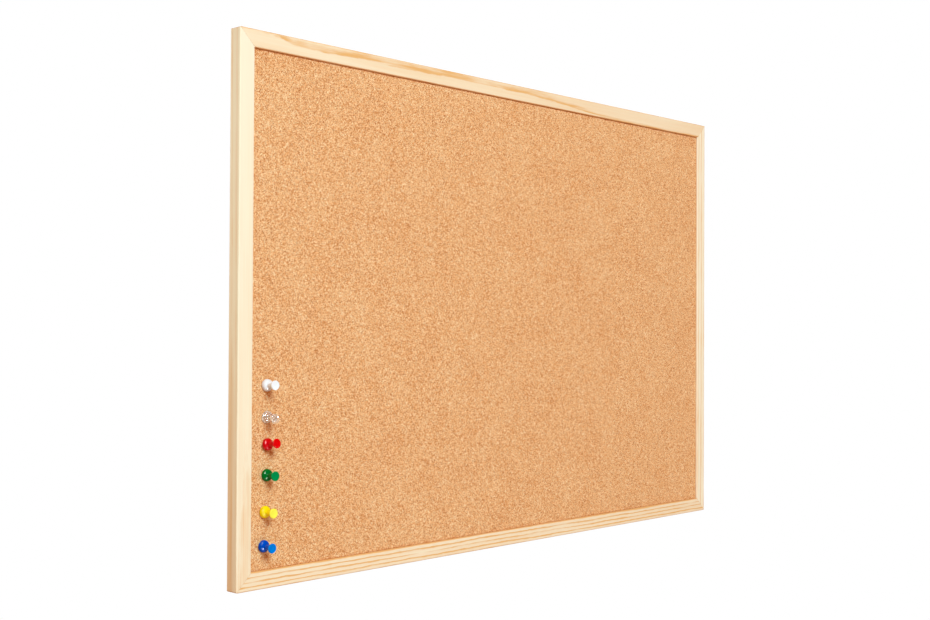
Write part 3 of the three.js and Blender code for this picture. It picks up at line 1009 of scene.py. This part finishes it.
class PanelSettings(bpy.types.PropertyGroup):
    """Grain and colours of the cork, the core and the backing."""

    granule: length("Granule", "Typical size of a cork granule", 0.48)
    relief: length("Relief", "Depth of the pits between granules", 0.09)
    lump: length("Lump", "Size of the pressed lumps in the cork's face", 4.2)
    spacing: length("Spacing", "Distance between the points of the cork's face", 2.2)
    seed: FloatProperty(name="Seed", description="Which random relief the cork takes", default=5.0)
    hole_clearance: length("Hole Clearance", "Room round a needle in the cork", 0.12)
    cork_mid: paint("Cork", "Usual colour of a granule", 247, 178, 111)
    cork_dark: paint("Cork Bark", "Darkest granules and seams", 188, 104, 48)
    cork_pale: paint("Cork Light", "Palest granules", 255, 231, 183)
    core_ground: paint("Softboard", "Colour of the hidden core", 176, 138, 94)
    core_fleck: paint("Softboard Fibre", "Fibres of the hidden core", 120, 88, 56)
    backing_ground: paint("Backing", "Colour of the backing sheet", 190, 152, 108)
    backing_fleck: paint("Backing Fibre", "Fibres of the backing sheet", 128, 90, 56)


class HangerSettings(bpy.types.PropertyGroup):
    """Sizes and finish of the sawtooth hangers and their nails."""

    hanger_thickness: length("Thickness", "Thickness of the strip", 0.8)
    hanger_lift: length("Lift", "How far the bridge stands off the wood", 1.8)
    hanger_tab: length("Tab", "Length of each flat end", 8.0)
    hanger_round: length("Corner", "Rounding of the strip's corners", 2.0)
    tooth_pitch: length("Tooth Pitch", "Distance between teeth", 2.4)
    tooth_depth: length("Tooth Depth", "Depth of the notches", 1.4)
    hanger_nail_inset: length("Nail Inset", "Nail from the end of the strip", 3.8)
    hanger_nail_diameter: length("Nail Diameter", "Diameter of a nail's shank", 1.3)
    hanger_nail_length: length("Nail Length", "Length of a nail below its head", 8.0)
    hanger_nail_point: length("Nail Point", "Length of a nail's point", 1.8)
    hanger_nail_room: length("Nail Room", "Room round a nail in the strip", 0.15)
    hanger_nail_head: length("Nail Head", "Diameter of a nail's head", 3.2)
    hanger_nail_head_thickness: length("Head Thickness", "Thickness of a nail's head", 0.7)
    zinc: paint("Zinc", "Colour of the plated steel", 196, 199, 203)


class PinSettings(bpy.types.PropertyGroup):
    """Sizes and colours of the push pins."""

    flange_diameter: length("Flange", "Diameter of the domed flange", 9.0)
    flange_lip: length("Flange Lip", "Rounding of the flange at the cork", 0.45)
    dome_height: length("Dome Height", "Height of the dome over the cork", 3.4)
    waist_diameter: length("Waist", "Diameter of the waist", 3.8)
    flare_height: length("Flare", "Height of the flare below the cap", 2.6)
    cap_diameter: length("Cap", "Diameter of the cap", 7.0)
    cap_thickness: length("Cap Thickness", "Thickness of the cap", 1.4)
    cap_rim: length("Cap Rim", "Rounding of the cap's rim", 0.45)
    cap_dish: length("Cap Dish", "Depth of the hollow in the cap", 0.3)
    head_height: length("Head Height", "Height of the whole head", 11.0)
    needle_diameter: length("Needle", "Diameter of the needle", 1.1)
    needle_length: length("Needle Length", "Needle below the head", 8.0)
    needle_point: length("Needle Point", "Length of the ground point", 3.0)
    needle_seat: length("Needle Seat", "Needle inside the head", 6.0)
    needle_room: length("Needle Room", "Room round the needle in the head", 0.15)
    turn_steps: IntProperty(
        name="Turn Steps", description="Facets round a turned part", default=64, min=12)
    # Each cap is painted lighter than its dome: painted light for the light that comes through the
    # thin cap
    white_dome: paint("White Dome", "Dome of the white pin", 236, 235, 233)
    white_cap: paint("White Cap", "Cap of the white pin", 246, 248, 250)
    red_dome: paint("Red Dome", "Dome of the red pin", 206, 3, 8)
    red_cap: paint("Red Cap", "Cap of the red pin", 228, 4, 7)
    green_dome: paint("Green Dome", "Dome of the green pin", 0, 110, 37)
    green_cap: paint("Green Cap", "Cap of the green pin", 0, 140, 73)
    yellow_dome: paint("Yellow Dome", "Dome of the yellow pin", 251, 221, 6)
    yellow_cap: paint("Yellow Cap", "Cap of the yellow pin", 255, 247, 80)
    blue_dome: paint("Blue Dome", "Dome of the blue pin", 0, 74, 185)
    blue_cap: paint("Blue Cap", "Cap of the blue pin", 0, 125, 221)
    clear_tint: paint("Clear", "Tint of the clear pin", 255, 246, 235)
    needle_steel: paint("Needle Steel", "Colour of the polished needle", 230, 230, 231)


class StageSettings(bpy.types.PropertyGroup):
    """Camera, lamps and floor."""

    lens: FloatProperty(name="Lens", description="Focal length in millimetres", default=50.13)
    azimuth: FloatProperty(
        name="Azimuth", description="Heading of the view, from straight at the board",
        default=math.radians(47.014), subtype="ANGLE")
    elevation: FloatProperty(
        name="Elevation", description="How far the view looks up", default=math.radians(0.869),
        subtype="ANGLE")
    roll: FloatProperty(
        name="Roll", description="Turn of the view about its axis", default=math.radians(0.276),
        subtype="ANGLE")
    eye: FloatVectorProperty(
        name="Eye", description="Where the camera stands", default=(-0.8577, -0.7490, -0.2077),
        subtype="TRANSLATION")
    key_power: power("Key", "The large upper lamp", 180.0)
    side_power: power("Side", "The lamp on the board's left", 0.52)
    back_power: power("Back", "The lamp behind the board", 40.0)
    upper_glint_power: power("Upper Glint", "The panel mirrored high on the pins", 120.0)
    lower_glint_power: power("Lower Glint", "The panel mirrored low on the pins", 32.0)
    cool: paint("Cool", "Colour of the key and back lamps", 207, 240, 255)
    pale: paint("Pale", "Colour of the side lamp", 208, 255, 253)
    ambient: paint("Ambient", "Light from all round", 176, 116, 68)
    room: paint("Room", "What is mirrored of the room in front of the board", 40, 37, 34)
    floor_drop: FloatProperty(
        name="Floor", description="Floor below the hanging line", default=1.5, unit="LENGTH")


class BoardSettings(bpy.types.PropertyGroup):
    """All settings of the pin board."""

    frame: PointerProperty(type=FrameSettings)
    panel: PointerProperty(type=PanelSettings)
    hanger: PointerProperty(type=HangerSettings)
    pin: PointerProperty(type=PinSettings)
    stage: PointerProperty(type=StageSettings)


# Operators

class PINBOARD_OT_frame_sides(bpy.types.Operator):
    """Make the four mitred pine mouldings of the frame"""

    bl_idname = "pinboard.frame_sides"
    bl_label = "Frame Sides"

    @staticmethod
    def profile(sizes):
        """The moulding's cross-section as depth from the back and distance from the edge."""
        land = sizes.face_width - sizes.rebate_width
        depth = BACK - FRONT
        lip = BACK - CORK_LOW.y
        corners = [
            (depth, 0, sizes.outer_ease), (depth, sizes.face_width, sizes.sight_ease),
            (lip, sizes.face_width, 0), (lip, land, 0), (0, land, 0), (0, 0, sizes.back_ease)]
        room = 0.2 * MM
        points, eases = [], []
        for i, (x, y, ease) in enumerate(corners):
            here = Vector((x, y, 0))
            near = [Vector((*corners[j % len(corners)][:2], 0)) for j in (i - 1, i + 1)]
            held = [here + (other - here).normalized() * (ease + room) for other in near]
            points += [held[0], here, held[1]] if ease else [here]
            eases += [0, ease, 0] if ease else [0]
        return outline_mesh("moulding_profile", points, ease=eases)

    @staticmethod
    def slots(side, sizes, hanger):
        """What is cut out of a side: nail slots, point slots, nail holes and round corners."""
        shell = bmesh.new()
        end = side.length / 2
        room = sizes.drive_clearance
        deep = sizes.nail_sink + sizes.nail_depth + room
        proud, through = 5 * MM, 25 * MM
        radius = sizes.corner_round
        waste = [(-radius, -radius), *arc((radius, -radius), (radius, radius), 180, 90, 8),
                 (radius, radius), (-radius, radius)]

        def at_end(outline, mirror):
            """An outline that is given from the top left corner, at either end of the side."""
            return [(mirror * (end - x), z) for x, z in outline][::-mirror]

        for mirror in (-1, 1):
            nail = at_end(corner_nail_outline(sizes, room), mirror)
            prism(shell, nail, proud, proud + deep)
            prism(shell, at_end(waste, mirror), proud, through)
        for along in point_stations(side):
            outline = [(along + x, z) for x, z in panel_point_outline(sizes, room)]
            prism(shell, outline, BACKING_BACK + sizes.point_thickness + room,
                  sizes.point_thickness + 2 * room)
        if side.name == "top_rail":
            for node in hanger_nail_nodes():
                spot = nail_station(node, hanger) - side.place
                lean = Matrix.Translation(spot) @ Matrix.Rotation(-QUARTER, 4, "X")
                turned(shell, nail_profile(hanger, room), lean, NAIL_HOLE_STEPS)
        return shell_mesh("slots", shell)

    def execute(self, context):
        board = context.scene.pin_board
        sizes = board.frame
        tree = frame_side_tree()
        for side in SIDES:
            finish = pine(
                f"pine_{side.name}", GRAINS[side.name], sizes.early_pine, sizes.late_pine)
            slots = linked("slots", self.slots(side, sizes, board.hanger))
            mesh = grown(tree, self.profile(sizes), {
                "Length": side.length, "Ease Steps": sizes.ease_steps,
                "Glue Line": sizes.glue_line, "Slots": slots, "Turn": side.turn * QUARTER,
                "Place": side.place, "Pine": finish})
            discard(slots)
            finished(f"pine_{side.name}", mesh, "board", "pine", side.name)
        return {"FINISHED"}


class PINBOARD_OT_cork_face(bpy.types.Operator):
    """Make the granular cork sheet with its pin holes"""

    bl_idname = "pinboard.cork_face"
    bl_label = "Cork Face"

    def execute(self, context):
        board = context.scene.pin_board
        sizes = board.panel
        # The frame's opening: along its edge the cork gets painted shade
        opening = (RIGHT - FACE_WIDTH, (TOP - BOTTOM) / 2 - FACE_WIDTH)
        finish = cork(sizes.cork_mid, sizes.cork_dark, sizes.cork_pale, sizes.granule, opening)
        shell = bmesh.new()
        proud = 3 * MM
        profile = needle_profile(board.pin, sizes.hole_clearance, proud)
        for name in PINS:
            foot, axis = pin_station(name)
            lean = Matrix.Translation(foot) @ lean_of(axis).to_matrix().to_4x4()
            turned(shell, profile, lean, PIN_HOLE_STEPS)
        holes = linked("pin_holes", shell_mesh("pin_holes", shell))
        middle = (CORK_LOW + CORK_HIGH) / 2
        mesh = grown(cork_tree(), bpy.data.meshes.new("cork_face"), {
            "Width": CORK_HIGH.x - CORK_LOW.x, "Height": CORK_HIGH.z - CORK_LOW.z,
            "Thickness": CORK_HIGH.y - CORK_LOW.y, "Spacing": sizes.spacing, "Lump": sizes.lump,
            "Relief": sizes.relief, "Seed": sizes.seed, "Holes": holes,
            "Place": (middle.x, CORK_LOW.y, middle.z), "Cork": finish})
        discard(holes)
        finished("cork_face", mesh, "board", "cork", "cork_sheet", sharp=40)
        return {"FINISHED"}


class PINBOARD_OT_panel_layers(bpy.types.Operator):
    """Give the softboard core and the backing sheet their finishes"""

    bl_idname = "pinboard.panel_layers"
    bl_label = "Core and Backing"

    def execute(self, context):
        sizes = context.scene.pin_board.panel
        layers = {
            "core_board": fibre_sheet("pressed_fibre", sizes.core_ground, sizes.core_fleck, 1.0),
            "backing_sheet": fibre_sheet(
                "brown_card", sizes.backing_ground, sizes.backing_fleck, 0.6),
        }
        for node, finish in layers.items():
            materials = frame["nodes"][node].data.materials
            materials.clear()
            materials.append(finish)
        return {"FINISHED"}


class PINBOARD_OT_driven_steel(bpy.types.Operator):
    """Make the V-shaped corner nails and the framer's points"""

    bl_idname = "pinboard.driven_steel"
    bl_label = "Corner Nails and Points"

    def execute(self, context):
        board = context.scene.pin_board
        sizes = board.frame
        finish = steel("galvanised_strip", board.hanger.zinc, roughness=0.34, spangle=0.16)
        tree = driven_plates_tree()
        corners = [(LEFT, TOP), (RIGHT, TOP), (RIGHT, BOTTOM), (LEFT, BOTTOM)]
        stations = outline_mesh(
            "corner_nails", [(x, 0, z) for x, z in corners], turn=[i * QUARTER for i in range(4)])
        outline = linked("outline", plate_mesh("outline", corner_nail_outline(sizes)))
        nails = grown(tree, stations, {
            "Outline": outline, "Thickness": sizes.nail_depth, "Back": -sizes.nail_sink,
            "Steel": finish})
        finished("corner_nails", nails, "board", "zinc_steel", *[
            f"corner_nail_{corner}"
            for corner in ("top_left", "top_right", "bottom_right", "bottom_left")])
        places, turns, nodes = [], [], []
        for side in SIDES:
            turn = Matrix.Rotation(side.turn * QUARTER, 3, "Y")
            for i, along in enumerate(point_stations(side)):
                places.append(side.place + turn @ Vector((along, 0, 0)))
                turns.append(side.turn * QUARTER)
                nodes.append(f"panel_point_{side.name.split('_')[0]}_{i + 1}")
        outline.data = plate_mesh("outline", panel_point_outline(sizes))
        points = grown(tree, outline_mesh("panel_points", places, turn=turns), {
            "Outline": outline, "Thickness": sizes.point_thickness,
            "Back": BACKING_BACK + sizes.point_thickness, "Steel": finish})
        discard(outline)
        finished("panel_points", points, "board", "zinc_steel", *nodes)
        return {"FINISHED"}


class PINBOARD_OT_hangers(bpy.types.Operator):
    """Make the sawtooth hangers and the nails that hold them"""

    bl_idname = "pinboard.hangers"
    bl_label = "Hangers"

    def execute(self, context):
        sizes = context.scene.pin_board.hanger
        finish = steel("galvanised_steel", sizes.zinc, roughness=0.3, spangle=0.3)
        for name in HANGERS:
            low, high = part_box(f"hanger_{name}")
            mesh = hanger_mesh(f"hanger_{name}", high.x - low.x, high.z - low.z, sizes)
            middle = (low + high) / 2
            mesh.transform(Matrix.Translation((middle.x, low.y, middle.z)))
            mesh.materials.append(finish)
            finished(f"sawtooth_hanger_{name}", mesh, "board", "zinc_steel", f"hanger_{name}")
        nodes = hanger_nail_nodes()
        line = profile_line("nail", nail_profile(sizes))
        stations = outline_mesh(
            "hanger_nails", [nail_station(node, sizes) for node in nodes],
            lean=[(-QUARTER, 0, 0)] * len(nodes))
        nails = grown(turned_parts_tree(), stations, {
            "Profile": line, "Segments": NAIL_STEPS, "Finish": finish})
        discard(line)
        finished("hanger_nails", nails, "board", "zinc_steel", *nodes)
        return {"FINISHED"}


class PINBOARD_OT_push_pins(bpy.types.Operator):
    """Make the moulded head and the steel needle of each push pin"""

    bl_idname = "pinboard.push_pins"
    bl_label = "Push Pins"

    def execute(self, context):
        sizes = context.scene.pin_board.pin
        tree = turned_parts_tree()
        polished = steel("polished_steel", sizes.needle_steel, roughness=0.28, spangle=0.05)
        lines = {
            "head": profile_line("head", head_profile(sizes)),
            "needle": profile_line("needle", needle_profile(sizes)),
        }
        for name in PINS:
            foot, axis = pin_station(name)
            if name == "clear":
                plastic = clear_plastic("water_clear", sizes.clear_tint)
            else:
                dome, cap = getattr(sizes, f"{name}_dome"), getattr(sizes, f"{name}_cap")
                plastic = moulded_plastic(f"glossy_{name}", dome, cap, foot, axis)
            lean = [tuple(lean_of(axis).to_euler())]
            for part, finish, slot in (
                    ("head", plastic, f"{name}_plastic"), ("needle", polished, "needle_steel")):
                station = outline_mesh("station", [foot], closed=False, lean=lean)
                mesh = grown(tree, station, {
                    "Profile": lines[part], "Segments": sizes.turn_steps, "Finish": finish})
                finished(
                    f"push_pin_{name}_{part}", mesh, f"pin_{name}", slot, f"pin_{name}_{part}",
                    sharp=50)
        discard(*lines.values())
        return {"FINISHED"}


class PINBOARD_OT_stage(bpy.types.Operator):
    """Set the camera, the lamps, the white surroundings and the floor"""

    bl_idname = "pinboard.stage"
    bl_label = "Stage"

    @staticmethod
    def camera(scene, stage):
        """The view of the board, from its left."""
        heading, rise = stage.azimuth, stage.elevation
        ahead = Vector((
            math.sin(heading) * math.cos(rise), math.cos(heading) * math.cos(rise), math.sin(rise)))
        right = Vector((math.cos(heading), -math.sin(heading), 0))
        up = right.cross(ahead)
        roll = Matrix.Rotation(stage.roll, 3, -ahead)
        camera = bpy.data.objects.new("camera", bpy.data.cameras.new("camera"))
        camera.data.lens = stage.lens
        camera.data.sensor_width = SENSOR_WIDTH
        camera.data.clip_start = 10 * MM
        axes = Matrix((roll @ right, roll @ up, -ahead)).transposed()
        camera.matrix_world = Matrix.Translation(stage.eye) @ axes.to_4x4()
        scene.collection.objects.link(camera)
        scene.camera = camera

    @staticmethod
    def lamp(scene, given, power, colour=(1, 1, 1)):
        """An area lamp that the camera doesn't see."""
        light = bpy.data.lights.new(given.name, "AREA")
        light.shape = "RECTANGLE"
        light.size, light.size_y = given.size
        light.energy = power
        light.color = colour
        lamp = bpy.data.objects.new(given.name, light)
        lamp.location = given.place
        ahead = Vector(given.aim) - Vector(given.place)
        lamp.rotation_euler = ahead.to_track_quat("-Z", "Y").to_euler()
        lamp.visible_camera = False
        scene.collection.objects.link(lamp)
        return lamp

    def lamps(self, scene, stage):
        """Lamps that light the board, and panels that only the plastic heads mirror."""
        shiny = bpy.data.collections.new("shiny_plastic")
        for name in PINS:
            shiny.objects.link(bpy.data.objects[f"push_pin_{name}_head"])
        for given in LIGHTS:
            colour = stage.pale if given.name == "side" else stage.cool
            lamp = self.lamp(scene, given, getattr(stage, f"{given.name}_power"), colour)
            lamp.visible_glossy = given.name == "back"
            lamp.visible_transmission = False
        for given in GLINTS:
            lamp = self.lamp(scene, given, getattr(stage, f"{given.name}_power"))
            lamp.visible_diffuse = False
            lamp.light_linking.receiver_collection = shiny
            lamp.data.use_nodes = True
            graph = Graph(lamp.data.node_tree)
            scattered = graph.add("ShaderNodeLightPath", output="Diffuse Depth")
            graph.fill(lamp.data.node_tree.nodes["Emission"], {
                "Strength": graph.math("LESS_THAN", scattered, 0.5)})

    @staticmethod
    def surroundings(scene, stage):
        """A white backdrop, seen or mirrored, a dim room facing it, and softer light."""
        world = bpy.data.worlds.new("white_backdrop")
        world.use_nodes = True
        scene.world = world
        graph = Graph(world.node_tree)
        camera, glossy, clear = (
            graph.add("ShaderNodeLightPath", output=f"Is {ray} Ray")
            for ray in ("Camera", "Glossy", "Transmission"))
        heading = graph.split(graph.add("ShaderNodeTexCoord", output="Generated"))[1]
        mirrored = graph.mix(graph.rise(heading, *ROOM_EDGE), opaque(stage.room), WHITE)
        colour = graph.mix(glossy, opaque(stage.ambient), mirrored)
        seen = graph.math("MAXIMUM", camera, clear)
        graph.fill(world.node_tree.nodes["Background"], {
            "Color": graph.mix(seen, colour, WHITE), "Strength": 1.0})

    @staticmethod
    def floor(drop):
        """A round white floor that fades out and keeps the board's shadow."""
        shell = bmesh.new()
        bmesh.ops.create_circle(
            shell, cap_ends=True, segments=96, radius=FLOOR_RADIUS,
            matrix=Matrix.Translation((0, 0, -drop)))
        mesh = shell_mesh("floor", shell)
        material, graph, shader = blank("floor")
        spot = graph.add("ShaderNodeTexCoord", output="Object")
        speck = graph.noise(graph.scaled(spot, 40.0), 3.0)
        graph.fill(shader, {"Base Color": (0.93, 0.93, 0.92, 1), "Roughness": 0.8 + speck * 0.1})
        x, y, _ = graph.split(spot)
        edge = graph.rise(graph.math("SQRT", x * x + y * y), *FLOOR_FADE)
        seen = graph.add("ShaderNodeLightPath", output="Is Camera Ray")
        glow = graph.add(
            "ShaderNodeEmission", inputs={"Color": WHITE, "Strength": seen * FLOOR_GLOW})
        lit = graph.add("ShaderNodeAddShader", inputs={0: Wire(graph, shader.outputs[0]), 1: glow})
        nothing = graph.add("ShaderNodeBsdfTransparent")
        faded = graph.add("ShaderNodeMixShader", inputs={"Fac": edge, 1: lit, 2: nothing})
        graph.fill(material.node_tree.nodes["Material Output"], {"Surface": faded})
        mesh.materials.append(material)
        linked("floor", mesh)

    def execute(self, context):
        scene = context.scene
        stage = scene.pin_board.stage
        scene.view_settings.view_transform = "Standard"
        self.camera(scene, stage)
        self.lamps(scene, stage)
        self.surroundings(scene, stage)
        self.floor(stage.floor_drop)
        return {"FINISHED"}


OPERATORS = (
    PINBOARD_OT_frame_sides,
    PINBOARD_OT_cork_face,
    PINBOARD_OT_panel_layers,
    PINBOARD_OT_driven_steel,
    PINBOARD_OT_hangers,
    PINBOARD_OT_push_pins,
    PINBOARD_OT_stage,
)


class PINBOARD_PT_build(bpy.types.Panel):
    """The pin board's steps and settings"""

    bl_idname = "PINBOARD_PT_build"
    bl_label = "Cork Pin Board"
    bl_space_type = "VIEW_3D"
    bl_region_type = "UI"
    bl_category = "Pin Board"

    def draw(self, context):
        for step in OPERATORS:
            self.layout.operator(step.bl_idname)
        board = context.scene.pin_board
        for group in (board.frame, board.panel, board.hanger, board.pin, board.stage):
            column = self.layout.box().column()
            for label in group.__annotations__:
                column.prop(group, label)


CLASSES = (
    FrameSettings, PanelSettings, HangerSettings, PinSettings, StageSettings, BoardSettings,
    *OPERATORS, PINBOARD_PT_build,
)


def register():
    """Registers the classes and the board's settings."""
    for cls in CLASSES:
        bpy.utils.register_class(cls)
    bpy.types.Scene.pin_board = PointerProperty(type=BoardSettings)


def unregister():
    """Takes the settings and the classes away again."""
    del bpy.types.Scene.pin_board
    for cls in reversed(CLASSES):
        bpy.utils.unregister_class(cls)


def main():
    """Makes every piece and the stage."""
    register()
    bpy.ops.pinboard.frame_sides()
    bpy.ops.pinboard.cork_face()
    bpy.ops.pinboard.panel_layers()
    bpy.ops.pinboard.driven_steel()
    bpy.ops.pinboard.hangers()
    bpy.ops.pinboard.push_pins()
    bpy.ops.pinboard.stage()


if __name__ == "__main__":
    main()
